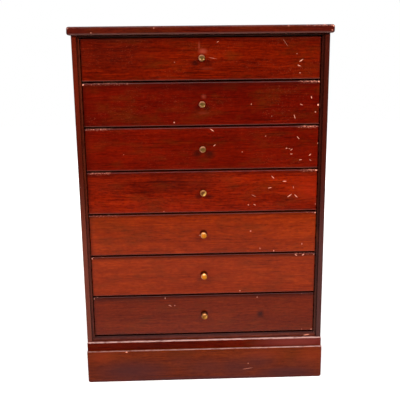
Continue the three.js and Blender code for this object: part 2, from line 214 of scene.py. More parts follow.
# Dark colour of painted shade along edges and round the knobs
PAINTED_SHADE = "#240300"
SPECK_TONE = "#b05038"

RAW_WOOD = 0.5
BARE_WOOD = 0.4
DUSTY = 0.3
SPECKLED = 0.2
# Dulling under painted shade and painted reflections along edges and round the knobs
PAINTED_LIGHT_DULLING = 0.1
STAIN_AND_SHADE_DULLING = 0.05

RAGGED = 0.9
SHAKE = 0.6


def scratches(add, place, box, marks):
    """Scratches and small chips, with ragged edges, down to pale wood."""
    ragged = add("TexNoise", {"Vector": place, "Scale": 1 / (RAGGED * MM), "Detail": 1.0}, out="Color")
    shaken = add("VectorMath", (ragged, [SHAKE * MM] * 3, place), operation="MULTIPLY_ADD")
    return marked(add, shaken, box, marks, CRISP), colour(PALE_SCRATCH), BARE_WOOD


def stains_and_painted_light(add, place, box, spots, code):
    """Soft dark or pale patches: stains in the polish, and painted shadows, painted reflections and painted
    light.
    """
    return marked(add, place, box, spots, SOFT), colour(code), STAIN_AND_SHADE_DULLING


# How far down and back the chips of an edge go, as shares of its rounding; their length, width, detail and
# roughness; and the noise that one needs on a sound edge, how far wear lowers it, and how soon one is whole.
DOWN_FROM_EDGE = (1.5, 0.6)
BACK_FROM_FACE = (1.6, 1.0)
CHIPS = (4, 1.8, 3, 0.75)
CHIP_NEEDS = 0.71
WEAR_HELPS = 0.17
CHIP_WHOLE = 0.08
STRETCH_FADE = 6


def rubbed_edge(add, place, box, ease, stretches):
    """Polish chipped off the upper edge here and there, and close together in some stretches."""
    low, high = box
    near_edge = along(add, place, "Z", *[high.z - share * ease for share in DOWN_FROM_EDGE])
    on_face = along(add, place, "Y", *[low.y + share * ease for share in BACK_FROM_FACE])
    worn = 0.0
    for start, stop, amount in stretches:
        inside = [
            along(add, place, "X", low.x + (end - fade) * MM, low.x + (end + fade) * MM)
            for end, fade in ((start, STRETCH_FADE), (stop, -STRETCH_FADE))
        ]
        worn = add("Math", (product(add, *inside, amount), worn), operation="MAXIMUM")
    chips = drawn_out(add, place, "x", *CHIPS)
    needed = add("Math", (worn, -WEAR_HELPS, CHIP_NEEDS), operation="MULTIPLY_ADD")
    above = add("Math", (chips, needed), operation="SUBTRACT")
    chipped = add("MapRange", (above, 0.0, CHIP_WHOLE))
    return product(add, near_edge, on_face, chipped), colour(RUBBED), BARE_WOOD


# The axis of an edge, which corner of the box it is at, and the way inwards
EDGES = {"left": ("X", 0, 1), "right": ("X", 1, -1), "lower": ("Z", 0, 1), "upper": ("Z", 1, -1)}


def painted_edge_light(add, place, box, side, reach, amount, code=PAINTED_SHADE):
    """Darkens or lightens a board towards an edge: dark for painted shade, pale for a painted reflection of
    the floor.
    """
    axis, corner, inwards = EDGES[side]
    edge = getattr(box[corner], axis.lower())
    return along(add, place, axis, edge + inwards * reach * MM, edge, 0.0, amount), colour(code), PAINTED_LIGHT_DULLING


SPECK = 1.5
SPECK_SHOWS = (0.7, 0.78)
SPECK_PATCH = (80, 40)
PATCH_SHOWS = (0.42, 0.6)


def specks(add, place, amount):
    """Dust and pinholes in the polish, thick in some places and absent in others."""
    fine = add("TexNoise", {"Vector": place, "Scale": 1 / (SPECK * MM), "Detail": 0.0})
    grains = add("MapRange", (fine, *SPECK_SHOWS, 0.0, amount))
    patch = add("MapRange", (drawn_out(add, place, "x", *SPECK_PATCH), *PATCH_SHOWS))
    return product(add, grains, patch), colour(SPECK_TONE), SPECKLED


def painted_knob_shade(add, place, centre, lift, start, stop, amount):
    """Painted shade close round a knob's foot: lifted a little, fading from start to stop."""
    _, radius = round_axis(add, place, centre + Vector((0, 0, lift * MM)))
    ring = (radius, stop * MM, start * MM, 0.0, amount)
    return add("MapRange", ring, interpolation_type="SMOOTHSTEP"), colour(PAINTED_SHADE), PAINTED_LIGHT_DULLING


LEDGE_DUST = (14, 4, 4, 0.7)
LEDGE_BREAKS = (0.36, 0.56, 0.25, 1.35)
LEDGE_WHOLE = 0.3


def worn_and_lit_ledge(add, place, box, depth, reach, shares):
    """Upper edge of a board painted pale, with breaks: partly rubbed and dusty, partly a painted highlight
    of the light above; shares are at its left and right ends.
    """
    low, high = box
    on_top = along(add, place, "Z", high.z - depth * MM, high.z - LEDGE_WHOLE * depth * MM)
    ends = along(add, place, "X", low.x, high.x, *shares)
    kept = add("MapRange", (drawn_out(add, place, "x", *LEDGE_DUST), *LEDGE_BREAKS))
    worn = product(add, on_top, at_front(add, place, box, reach), ends, kept)
    return worn, colour(RUBBED_AND_LIT_LEDGE), DUSTY


def front_edge(add, place, box, depth, code, share):
    """Front edge of a carcase side, in a tone of its own; the right one's darker tone is painted shade."""
    return at_front(add, place, box, depth, share), colour(code), STAIN_AND_SHADE_DULLING


HAZE_BEGINS = (0.65, 0.4)


def bloom_and_sheen(add, place, box, depth, code, share):
    """Pale haze on a front edge, from the middle of its height to the foot: partly bloom in the polish and
    partly a painted reflection of the floor.
    """
    down = along(add, place, "Z", *[level * box[1].z for level in HAZE_BEGINS], 0.0, share)
    return product(add, at_front(add, place, box, depth), down), colour(code), BARE_WOOD


POLISH_RUN = 0.3 * MM


def raw_inside(add, place, hand, plane, tones):
    """The raw inner face of a carcase side and its beech runners, behind a plane so far from the middle."""
    base, _ = planed_figure(add, place, "y", tones)
    return along(add, place, "X", hand * (plane + POLISH_RUN), hand * plane), base, RAW_WOOD


# Mahogany, stained deep red and French-polished. Each layer of its figure has its length along the grain and
# its width across it in mm, its detail and its share. The fibres and pores are drawn about twice as coarse
# as the real ones, so that they show.
FIGURE = (
    (150, 48, 2, 0.45),
    (320, 20, 2, 0.35),
    (62, 4.2, 4, 0.50),
    (20, 2.2, 3, 0.70),
    (6.5, 3.4, 2, 0.35),
)
FIGURE_ROUGHNESS = 0.6
FIGURE_STEPS = (1.37, 0.71, 2.13)
WANDER = (260, 90)
WANDER_REACH = 18
MOTTLE = (60, 22, 3, 0.6)
DARK_LINE = (140, 1.9, 2)
PORE = (9, 1.4, 1)

# Where each shows in its noise, and how strongly
PALE_SHOWS = (0.5, 0.85)
DARK_SHOWS = (0.5, 0.2)
MOTTLE_SHOWS = (0.5, 0.72, 0.0, 0.4)
LINE_SHOWS = (0.57, 0.69, 0.0)
LINE_SHARE = 0.6
PORE_SHOWS = (0.6, 0.72, 0.0)
PORE_SHARE = 0.5
PORE_SINKS = -1.5

PALE_GRAIN = (1.7, 2.2, 2.0)
DARK_GRAIN = (0.42, 0.35, 0.5)
DARKEST_GRAIN = (0.25, 0.2, 0.3)
MOTTLE_BROWN = "#5a2405"
MATT_SPOTS = (0.3, 0.75)
MATT = 0.06
POLISH_RELIEF = 0.012 * MM


def french_polished(name, tone, grain="x", seed=0, figure=1.0, coats=(), specular=0.25, roughness=0.11):
    """Polished mahogany: a wandering ribbon figure under a thin, even gloss, with its coats over it."""
    material, add, place = new_material(f"french_polished_mahogany_{name}")
    shifted = moved(add, place, seed, FIGURE_STEPS)
    aside = product(add, drawn_out(add, shifted, grain, *WANDER), WANDER_REACH * MM)
    across = [0.0 if axis == grain else 1.0 for axis in "xyz"]
    wander = add("VectorMath", {0: across, "Scale": aside}, operation="SCALE")
    grained = add("VectorMath", (shifted, wander), operation="ADD")
    value = 0.5 - 0.5 * figure * sum(layer[-1] for layer in FIGURE)
    for *sizes, share in FIGURE:
        layer = drawn_out(add, grained, grain, *sizes, FIGURE_ROUGHNESS)
        value = add("Math", (layer, share * figure, value), operation="MULTIPLY_ADD")
    mottle = drawn_out(add, shifted, grain, *MOTTLE)
    line = drawn_out(add, grained, grain, *DARK_LINE)
    pore = add("MapRange", (drawn_out(add, grained, grain, *PORE), *PORE_SHOWS, PORE_SHARE * figure))
    base = layered(add, colour(tone), (
        (add("MapRange", (value, *PALE_SHOWS)), toned(tone, PALE_GRAIN)),
        (add("MapRange", (value, *DARK_SHOWS)), toned(tone, DARK_GRAIN)),
        (add("MapRange", (mottle, *MOTTLE_SHOWS)), colour(MOTTLE_BROWN)),
        (add("MapRange", (line, *LINE_SHOWS, LINE_SHARE * figure)), toned(tone, DARKEST_GRAIN)),
        (pore, toned(tone, DARKEST_GRAIN)),
    ))
    gloss = add("MapRange", (mottle, *MATT_SPOTS, roughness, roughness + MATT))
    for coat, *about in coats:
        share, over, dulling = coat(add, place, *about)
        base = layered(add, base, ((share, over),))
        gloss = add("Math", (share, dulling, gloss), operation="MULTIPLY_ADD")
    height = add("Math", (value, product(add, pore, PORE_SINKS)), operation="ADD")
    finished(add, base, gloss, height, POLISH_RELIEF, {"Specular IOR Level": specular})
    return material


# Planed wood inside: pale beech and birch-faced plywood, dry and a little dusty, with flecks along the grain

BEECH = ("#a2734a", "#b98a5d", "#cba377")
RAW_MAHOGANY = ("#7a4a30", "#8f5b3d", "#a56f4e")
PLY_FACE = ("#9c7346", "#b08756", "#c39c6b")
GROWTH = (300, 14)
FLECK = (5, 0.9)
FLECK_SHOWS = (0.56, 0.72, 0.0, 0.4)
PALE_GROWTH = (1.0, 1.3)
DARK_GROWTH = (1.0, 0.7)
PLY_CORE = (0.45, 0.55, 0.0, 0.6)
PLY_EDGE = (0.5, 0.3)
PLANED_FIBRE = (40, 1.3, 3, 0.6)
PLANED_STEPS = (0.83, 1.19, 0.57)
PLANED_GLOSS = (0.2, 0.8, 0.58, 0.75)
PLANED_SPECULAR = 0.3
PLANED_RELIEF = 0.05 * MM


def planed_figure(add, place, grain, tones):
    """Growth rings, fibres and flecks of a planed board: its colour and the height of its fibres."""
    dark, middle, light = tones
    fibre = drawn_out(add, place, grain, *PLANED_FIBRE)
    value = add("Math", (drawn_out(add, place, grain, *GROWTH), fibre), operation="ADD")
    fleck = drawn_out(add, place, grain, *FLECK)
    base = layered(add, colour(middle), (
        (add("MapRange", (value, *PALE_GROWTH)), colour(light)),
        (add("MapRange", (value, *DARK_GROWTH)), colour(dark)),
        (add("MapRange", (fleck, *FLECK_SHOWS)), colour(dark)),
    ))
    return base, fibre


def planed_wood(name, tones, grain, seed, plies=None):
    """Planed and unpolished: a dry surface, and on plywood the layers of its edges."""
    material, add, place = new_material(name)
    base, fibre = planed_figure(add, moved(add, place, seed, PLANED_STEPS), grain, tones)
    if plies:
        base = layered(add, base, ((ply_edges(add, place, *plies), colour(tones[0])),))
    gloss = add("MapRange", (fibre, *PLANED_GLOSS))
    finished(add, base, gloss, fibre, PLANED_RELIEF, {"Specular IOR Level": PLANED_SPECULAR})
    return material


def ply_edges(add, place, axis, start, layer):
    """Share of the darker layers on a plywood panel's edges; its lowest face is at start, on its axis."""
    depth = add("SeparateXYZ", (place,), out=axis)
    depth = add("Math", (depth, start), operation="SUBTRACT")
    depth = add("Math", (depth, 2 * layer), operation="DIVIDE")
    depth = add("Math", (depth,), operation="FRACT")
    core = add("MapRange", (depth, *PLY_CORE))
    normal = add("NewGeometry", out="Normal")
    facing = add("Math", (add("SeparateXYZ", (normal,), out=axis),), operation="ABSOLUTE")
    return product(add, core, add("MapRange", (facing, *PLY_EDGE)))


# Turned brass: satin rings left by the tool under brown tarnish, and a painted reflection that lightens its
# lower right side.
# Old lacquer and tarnish take a part of the metal's mirror, so it isn't all metallic. Sizes are in mm.

METAL_RELIEF = 0.01 * MM
BRASS_METALLIC = 0.6
TOOL_RING = 0.7
RING_HEIGHT = 0.25
# The way to a knob's lower right side, lightened as a painted reflection, and where that starts and is
# whole, in mm
PAINTED_CRESCENT_SIDE = (0.8, 0.0, -0.6)
PAINTED_CRESCENT_FROM = (0.8, 4.0)
RIM_FROM = (3.9, 4.7)
TARNISHED_NECK = (6, 2)
CLOUD = 2.6
CLOUD_STEPS = (0.31, 0.17, 0.41)
TARNISH_SHOWS = (0.66, 0.82)
TARNISH_SPREADS = 0.25
TARNISH_SHARE = 0.8
CLOUDY = (0.3, 0.75)
CLOUD_DULLS = 0.15
STEEL = "#8b8781"
STEEL_DARK = ("#5d5750", (0.5, 0.38))
STEEL_RUST = ("#7a5a45", (0.6, 0.72))
STEEL_GLOSS = (0.3, 0.7, 0.3, 0.6)


def turned_brass(number, axis, face, rim, bright, tarnish, share, gloss):
    """Brass of one knob, about an axis that starts on the front; share is how brown it is."""
    material, add, place = new_material(f"turned_brass_knob_{number}")
    flat, radius = round_axis(add, place, axis)
    lower_right = add("VectorMath", (flat, PAINTED_CRESCENT_SIDE), out="Value", operation="DOT_PRODUCT")
    ring = add("Math", (product(add, radius, math.tau / (TOOL_RING * MM)),), operation="SINE")
    shifted = moved(add, place, number, CLOUD_STEPS)
    cloud = add("TexNoise", {"Vector": shifted, "Scale": 1 / (CLOUD * MM), "Detail": 4.0, "Roughness": 0.6})
    brown = [level - TARNISH_SPREADS * share for level in TARNISH_SHOWS]
    neck = [axis.y - depth * MM for depth in TARNISHED_NECK]
    base = layered(add, colour(face), (
        (add("MapRange", (radius, *[size * MM for size in RIM_FROM])), colour(rim)),
        (add("MapRange", (lower_right, *[size * MM for size in PAINTED_CRESCENT_FROM])), colour(bright)),
        (add("MapRange", (cloud, *brown, 0.0, TARNISH_SHARE)), colour(tarnish)),
        (along(add, place, "Y", *neck), colour(tarnish)),
    ))
    roughness = add("MapRange", (cloud, *CLOUDY, gloss, gloss + CLOUD_DULLS))
    height = add("Math", (ring, RING_HEIGHT, cloud), operation="MULTIPLY_ADD")
    finished(add, base, roughness, height, METAL_RELIEF, {"Metallic": BRASS_METALLIC})
    return material


def zinc_steel(name):
    """Zinc-plated steel of small screws, gone grey and a little rusty."""
    material, add, place = new_material(name)
    cloud = add("TexNoise", {"Vector": place, "Scale": 1 / (CLOUD * MM), "Detail": 3.0})
    layers = [(add("MapRange", (cloud, *shows)), colour(code)) for code, shows in (STEEL_DARK, STEEL_RUST)]
    base = layered(add, colour(STEEL), layers)
    gloss = add("MapRange", (cloud, *STEEL_GLOSS))
    finished(add, base, gloss, cloud, METAL_RELIEF, {"Metallic": 1.0})
    return material


# Boards made fresh, so that their eased edges are smooth and chipped as old ones are

def evenly(low, high, count):
    """Places from low to high, both included."""
    return [low + (high - low) * step / (count - 1) for step in range(count)]


EASE_STEPS = 6
EASE_SUPPORT = 0.3 * MM
STATION_SPACING = 1.6 * MM
STATION_SPACING_ACROSS = 3.5 * MM
QUARTER_TURNS = evenly(0, math.pi / 2, EASE_STEPS + 1)
SMOOTH_ANGLE = math.radians(35)
CHIP_SPACING = 8 * MM
CHIP_RARITY = 0.42
CHIP_DEPTH = 1.4 * MM
MARK_CHIP_DEPTH = 0.5 * MM
CORNER_BLEND = 14 * MM
MERGE = 0.002 * MM


def eased(distance, ease):
    """How far an eased edge falls back from the face, at a distance from the board's side."""
    if distance >= ease:
        return 0.0
    return ease - math.sqrt(max(ease ** 2 - (ease - distance) ** 2, 0.0))


def stations(low, high, ease_low, ease_high, spacing):
    """Places across a board: close on its eased edges and evenly spaced between them."""
    def rising(ease):
        if ease == 0:
            return [0.0]
        return [ease * (1 - math.cos(turn)) for turn in QUARTER_TURNS] + [ease + EASE_SUPPORT]
    first = [low + distance for distance in rising(ease_low)]
    last = [high - distance for distance in reversed(rising(ease_high))]
    count = max(2, round((last[0] - first[-1]) / spacing))
    return first + evenly(first[-1], last[0], count + 1)[1:-1] + last


def broken_out(*place):
    """How deep the wood is broken out at a place on an edge."""
    return max(0.0, noise.noise(Vector(place)) - CHIP_RARITY) * CHIP_DEPTH


def chip_depth(x, z, low, marks, fade, seed):
    """How deep a face is broken out at a place, by chance or by a mark; fade is less away from the edge."""
    if fade <= 0:
        return 0.0
    depth = broken_out(x / CHIP_SPACING, z / CHIP_SPACING, seed)
    for across, up, length, width, _, strength in marks:
        aside = (x - low.x - across * MM) / (length / 2 * MM)
        above = (z - low.z - up * MM) / (width * MM)
        apart = math.hypot(aside, above)
        depth = max(depth, MARK_CHIP_DEPTH * strength * max(0.0, 1 - apart))
    return depth * fade


def drawn_in(x, z, box, corner):
    """A place moved inwards, where the lower corners of a board are worn round."""
    low, high = box
    for end, way in ((low.x, 1), (high.x, -1)):
        inside = way * (x - end)
        if inside < CORNER_BLEND:
            return x + way * eased(z - low.z, corner) * (1 - inside / CORNER_BLEND)
    return x


def skin(bm, rows, closed=False):
    """Faces between rows of points; closed rows run round."""
    for lower, upper in zip(rows, rows[1:]):
        for i in range(len(lower) - (not closed)):
            after = (i + 1) % len(lower)
            bm.faces.new((lower[i], lower[after], upper[after], upper[i]))


def eased_board(name, box, ease, marks=(), seed=0, corner=0.0):
    """Closed board whose face looks towards -Y, with eased edges: ease is (left, right, bottom, top)."""
    low, high = box
    left, right, bottom, top = ease
    across = stations(low.x, high.x, left, right, STATION_SPACING)
    bm = bmesh.new()
    rows = []
    for z in stations(low.z, high.z, bottom or corner, top, STATION_SPACING_ACROSS):
        row = []
        for x in across:
            sides = ((x - low.x, left), (high.x - x, right), (z - low.z, bottom), (high.z - z, top))
            fade = 1 - min(distance for distance, _ in sides) / (2 * max(ease))
            fall = max(eased(*side) for side in sides) + chip_depth(x, z, low, marks, fade, seed)
            row.append(bm.verts.new((drawn_in(x, z, box, corner), low.y + fall, z)))
        rows.append(row)
    skin(bm, rows)
    rim = rows[0] + [row[-1] for row in rows[1:-1]] + rows[-1][::-1] + [row[0] for row in rows[-2:0:-1]]
    rear = [bm.verts.new((vert.co.x, high.y, vert.co.z)) for vert in rim]
    skin(bm, (rear, rim), closed=True)
    bm.faces.new(rear[::-1])
    bmesh.ops.recalc_face_normals(bm, faces=bm.faces)
    return to_object(name, bm)


def in_scene(name, data):
    """A new object at the origin, with this data."""
    made = bpy.data.objects.new(name, data)
    bpy.context.scene.collection.objects.link(made)
    return made


def to_object(name, bm):
    """An object with this mesh, its edges smooth where they turn gently."""
    mesh = bpy.data.meshes.new(name)
    bm.to_mesh(mesh)
    bm.free()
    smooth(mesh)
    return in_scene(name, mesh)


def smooth(mesh):
    mesh.shade_smooth()
    mesh.set_sharp_from_angle(angle=SMOOTH_ANGLE)


def grown_copy(node, clearance):
    """Copy of a piece of the model, grown all round by a clearance, to cut its seat with."""
    bm = bmesh.new()
    bm.from_mesh(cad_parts[node].data)
    bmesh.ops.remove_doubles(bm, verts=bm.verts, dist=MERGE)
    bm.normal_update()
    moves = [vert.normal * clearance * vert.calc_shell_factor() for vert in bm.verts]
    for vert, move in zip(bm.verts, moves):
        vert.co += move
    return to_object(f"cutter_{node}", bm)


def plain_mesh(made):
    """Bakes an object's modifiers into its own mesh and takes them off."""
    evaluated = made.evaluated_get(bpy.context.evaluated_depsgraph_get())
    mesh = bpy.data.meshes.new_from_object(evaluated)
    made.modifiers.clear()
    made.data = mesh
    made.data.name = made.name
    smooth(mesh)


def cut_by(board, cutters):
    """Takes the cutters out of the board and removes them."""
    for cutter in cutters:
        modifier = board.modifiers.new("seat", "BOOLEAN")
        modifier.operation = "DIFFERENCE"
        modifier.solver = "EXACT"
        modifier.object = cutter
    plain_mesh(board)
    for cutter in cutters:
        bpy.data.objects.remove(cutter)


def dress(piece, material, body, slot, *replaced):
    """Gives a piece its finish, the body it moves with and the nodes it stands for."""
    piece.data.materials.clear()
    piece.data.materials.append(material)
    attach(piece, body)
    if replaced:
        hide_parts(*replaced)


# Drawer fronts. Each one's tone, the strength of its figure, its specks, how far down from its upper edge
# shade is painted and how far in from its left and right edges it darkens, and how dark, and where its upper
# edge is worn, from mm to mm, and how badly.

FRONTS = {
    1: ("#671001", 1.15, 0.3, ((10, 0.5), (4, 0.6), (4, 0.9)), ((225, 245, 0.4),)),
    2: ("#5c0901", 0.9, 0.3, ((13, 0.7), (8, 0.5), (2, 0.3)), ((0, 95, 0.9), (428, 469, 1.2))),
    3: ("#660c01", 0.9, 0.22, ((6, 0.6), (11, 0.45), (3, 0.5)), ((0, 55, 1.0), (428, 469, 1.2))),
    4: ("#7b1602", 1.25, 0.12, ((14, 0.6), (8, 0.5), (3, 0.4)), ((0, 50, 1.0), (434, 469, 1.0))),
    5: ("#852401", 0.8, 0.08, ((8, 0.8), (8, 0.5), (5, 0.3)), ((2, 62, 0.8), (436, 469, 0.6))),
    6: ("#832402", 0.7, 0.08, ((9, 0.9), (4, 0.5), (4, 0.4)), ((0, 40, 0.5), (425, 469, 0.7))),
    7: ("#681a02", 0.75, 0.1, ((10, 0.9), (6, 0.4), (5, 0.4)), ((0, 20, 0.6), (440, 469, 0.4))),
}

# Marks: mm from the left end, mm from the lower edge, length, width, turn in degrees and strength
FRONT_MARKS = {
    1: ((431, 36, 9.5, 1.5, 35, 1), (427, 26, 8.5, 1.5, -20, 0.8), (429, 12, 2.6, 2, 0, 0.6),
        (257, 42, 17.1, 0.9, -10, 0.4), (267, 73, 4.8, 1.4, 25, 0.5), (399, 70, 20, 0.9, -55, 0.3),
        (422, 49, 2.1, 1.5, 0, 0.4), (182, 35, 2.1, 1.5, 0, 0.4)),
    2: ((453, 53, 5.2, 1.8, -70, 0.9), (433, 39, 7, 1.5, -20, 0.6), (467, 38, 4.3, 3.5, 0, 1),
        (462, 24, 2.8, 2.4, 0, 0.7), (420, 15, 9.2, 1.5, -70, 0.8), (374, 17, 1.9, 1.5, 0, 0.5),
        (333, 41, 3.7, 1.4, 80, 0.6), (179, 7, 2.8, 2.4, 0, 0.8), (2, 83, 4, 3, 0, 1),
        (467, 84, 3, 4, 0, 1)),
    3: ((254, 80, 10.5, 1.5, -35, 0.9), (259, 49, 6.3, 1.4, 40, 0.8), (362, 66, 4, 1.2, 45, 0.4),
        (428, 62, 7.9, 1.5, -50, 0.7), (405, 41, 3.2, 2.6, 0, 0.7), (411, 40, 3.3, 1.4, 0, 0.45),
        (415, 38, 5.6, 1.5, 30, 0.85), (415, 29, 5.2, 1.5, 0, 0.8), (453, 27, 6, 1.5, 40, 0.95),
        (434, 17, 7.1, 1.5, 5, 0.6), (454, 16, 5.4, 1.4, -35, 0.4), (315, 35, 2.7, 2.1, 0, 0.5),
        (468, 50, 2.8, 1.5, 90, 0.5), (76, 33, 2.1, 1.5, 0, 0.35)),
    4: ((378, 71, 8.7, 1.5, -45, 0.85), (402, 62, 8.6, 1.6, 0, 0.95), (372, 49, 8.3, 1.5, 10, 0.8),
        (413, 32, 10.5, 1.8, 35, 1), (426, 31, 9.5, 1.6, -45, 0.95), (421, 49, 5, 1.4, -80, 0.5),
        (339, 33, 11.4, 1.1, -25, 0.45), (328, 14, 2.8, 2.4, 0, 0.75), (341, 14, 6, 1.5, -25, 0.75),
        (467, 13, 2.9, 1.5, 90, 0.5), (154, 3, 2.1, 1.8, 0, 0.65), (467, 84, 4, 3, 0, 0.9)),
    5: ((333, 47, 3.2, 2.6, 0, 0.65), (353, 9, 4.5, 1.5, -75, 0.5), (382, 3, 4.3, 2, 90, 0.9),
        (441, 17, 4.4, 1.5, 90, 0.6), (227, 40, 3.5, 2.8, 0, 0.35), (467, 84, 3, 3, 0, 0.8)),
    6: ((429, 82, 5.5, 1.9, -35, 1), (444, 82, 5.3, 1.9, 20, 1), (467, 82, 2.4, 1.9, 0, 0.8),
        (311, 5, 3, 2.5, 0, 0.7), (2, 83, 3, 2.4, 0, 0.7)),
    7: ((152, 81, 4.4, 1.8, 90, 0.6), (162, 64, 8.3, 1.4, -25, 0.65), (172, 64, 2.7, 2.1, 0, 0.5),
        (348, 79, 2.8, 2.4, 0, 0.6), (445, 3, 2.2, 1.5, 0, 0.5), (466, 2, 3.7, 2.6, 0, 0.8),
        (2, 83, 2.6, 2, 0, 0.6)),
}

# Stains, worn patches, painted knob shadows, painted reflections and painted light, as marks with soft
# edges. The dark pairs below and beside the knobs on drawers 1 to 4 are painted knob shadows; the pale
# patches above knobs 1 and 2 are partly rubbed polish and partly a painted reflection, those just below them
# a painted reflection; on drawer 4 the two wide dark patches high on its left half are painted shade and the
# pale patch on its right painted light.
# Dark brown of stains and painted shade, pale red of rubbed polish and painted reflections, and red of
# painted light
STAIN_AND_SHADE_BROWN = "#2c0a06"
RUBBED_AND_REFLECTED_RED = "#b04a34"
PAINTED_LIGHT_RED = "#b0280a"
FRONT_STAINS_AND_SHADOWS = {
    1: ((STAIN_AND_SHADE_BROWN, ((60, 50, 160, 60, 0, 0.3), (221, 32, 18, 11, 0, 0.75), (248, 31, 18, 11, 0, 0.5),
                       (240, 30, 60, 24, 0, 0.25))),
        (RUBBED_AND_REFLECTED_RED, ((237, 55, 14, 9, 0, 0.55), (230, 65, 4, 16, 0, 0.3), (244, 22, 26, 5, 0, 0.12)))),
    2: ((STAIN_AND_SHADE_BROWN, ((223, 35, 13, 8, 0, 0.3), (246, 35, 13, 8, 0, 0.3), (240, 78, 300, 20, 0, 0.3))),
        (RUBBED_AND_REFLECTED_RED, ((238, 57, 9, 8, 0, 0.3), (237, 25, 20, 6, 0, 0.12)))),
    3: ((STAIN_AND_SHADE_BROWN, ((223, 32, 16, 12, 0, 0.6), (249, 31, 18, 15, 0, 0.65))),),
    4: ((STAIN_AND_SHADE_BROWN, ((40, 62, 130, 40, 0, 0.25), (200, 62, 160, 36, 0, 0.4), (225, 33, 15, 11, 0, 0.5),
                       (249, 33, 15, 11, 0, 0.5))),
        (PAINTED_LIGHT_RED, ((450, 48, 64, 52, 0, 0.3),))),
    7: ((STAIN_AND_SHADE_BROWN, ((355, 40, 13, 13, 0, 0.85), (40, 80, 180, 20, 0, 0.2), (40, 0, 130, 5, 0, 0.8))),),
}

# Painted shade round a knob of the upper and of the lower drawers: lift, start, stop and amount
KNOB_SHADE = {False: (0, 6, 8.5, 0.5), True: (1.2, 6.2, 9.2, 0.9)}
FIRST_LOWER_DRAWER = 5

FRONT_EASE = (1.5 * MM, 1.5 * MM, 2 * MM, 4 * MM)
# Painted reflection of the floor along the lower edge of a front: reach, amount and colour
FRONT_LOWER_REFLECTION = (2.2, 0.75, "#8a4a3c")
SEAT_CLEARANCE = 0.2 * MM
SCREW_HOLE = 2.3 * MM
HOLE_SIDES = 24


def middle_of(node):
    low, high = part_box(node)
    return (low + high) / 2


def screw_hole(body):
    """Cutter for the hole of a knob's screw, through the front."""
    low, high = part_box(f"{body}_front")
    centre = middle_of(f"{body}_knob")
    bm = bmesh.new()
    bmesh.ops.create_cone(bm, cap_ends=True, segments=HOLE_SIDES, radius1=SCREW_HOLE, radius2=SCREW_HOLE,
                          depth=2 * (high.y - low.y))
    turn = Matrix.Rotation(math.pi / 2, 4, "X")
    bm.transform(Matrix.Translation((centre.x, (low.y + high.y) / 2, centre.z)) @ turn)
    return to_object("cutter_hole", bm)


def drawer_front(number):
    body = f"drawer_{number}"
    node = f"{body}_front"
    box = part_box(node)
    tone, figure, dust, darkened_edges, stretches = FRONTS[number]
    marks = FRONT_MARKS[number]
    board = eased_board(f"{node}_polished", box, FRONT_EASE, marks, seed=number)
    seats = [grown_copy(f"{body}_{part}", SEAT_CLEARANCE) for part in ("side_left", "side_right", "bottom")]
    cut_by(board, seats + [screw_hole(body)])
    coats = [
        *[(stains_and_painted_light, box, spots, code) for code, spots in FRONT_STAINS_AND_SHADOWS.get(number, ())],
        # Painted shade round the knob and along the upper edge, darkening towards the left and right edges,
        # and a painted reflection along the lower edge
        (painted_knob_shade, middle_of(f"{body}_knob"), *KNOB_SHADE[number >= FIRST_LOWER_DRAWER]),
        *[(painted_edge_light, box, side, *size) for side, size in zip(("upper", "left", "right"), darkened_edges)],
        (painted_edge_light, box, "lower", *FRONT_LOWER_REFLECTION),
        (specks, dust),
        (rubbed_edge, box, FRONT_EASE[-1], stretches),
        (scratches, box, marks),
    ]
    polish = french_polished(f"front_{number}", tone, seed=number, figure=figure, coats=coats)
    dress(board, polish, body, "polished_mahogany", node)


# Top board: its marks are measured like those of a front, along its front edge

TOP_EDGE = 4.6 * MM
TOP_CHIPS = 0.6 * TOP_EDGE
TOP_CORNER = 6 * MM
TOP_CORNER_STEPS = 8
TOP_TONE = "#571407"
TOP_STAIN = "#2a0c0c"
TOP_STAINS = ((500, 8, 70, 34, 0, 0.3), (20, 8, 90, 34, 0, 0.4), (110, 8, 140, 34, 0, 0.25))
# Painted reflection of the floor along the lower edge of the top: reach, amount and colour
TOP_LOWER_REFLECTION = (3.4, 0.5, "#8c645a")
TOP_WORN = ((0, 25, 0.7), (380, 455, 0.5), (455, 517, 1.0))
TOP_MARKS = (
    (48, 4, 2.4, 1.8, 0, 0.6), (168, 12, 3, 2, 60, 0.4), (426, 14, 3, 2, 0, 0.5), (514, 13, 6, 4, -30, 0.9),
    (511, 5, 4, 3, 0, 0.35), (3, 13, 5, 3, 0, 0.3),
)


def top_plan(low, high):
    """Plan of the top board from its back left corner round the front, as points with their way out."""
    left, right, front = low.x + TOP_CORNER, high.x - TOP_CORNER, low.y + TOP_CORNER
    back_to_front = evenly(high.y, front, round((high.y - front) / STATION_SPACING_ACROSS) + 1)
    across = evenly(left, right, round((right - left) / STATION_SPACING) + 1)
    points = [(low.x, y, -1, 0) for y in back_to_front[:-1]]
    for centre, start in ((left, 180), (right, 270)):
        for turn in evenly(start, start + 90, TOP_CORNER_STEPS + 1):
            out = (math.cos(math.radians(turn)), math.sin(math.radians(turn)))
            points.append((centre + TOP_CORNER * out[0], front + TOP_CORNER * out[1], *out))
        if centre == left:
            points += [(x, low.y, 0, -1) for x in across[1:-1]]
    return points + [(high.x, y, 1, 0) for y in back_to_front[-2::-1]]


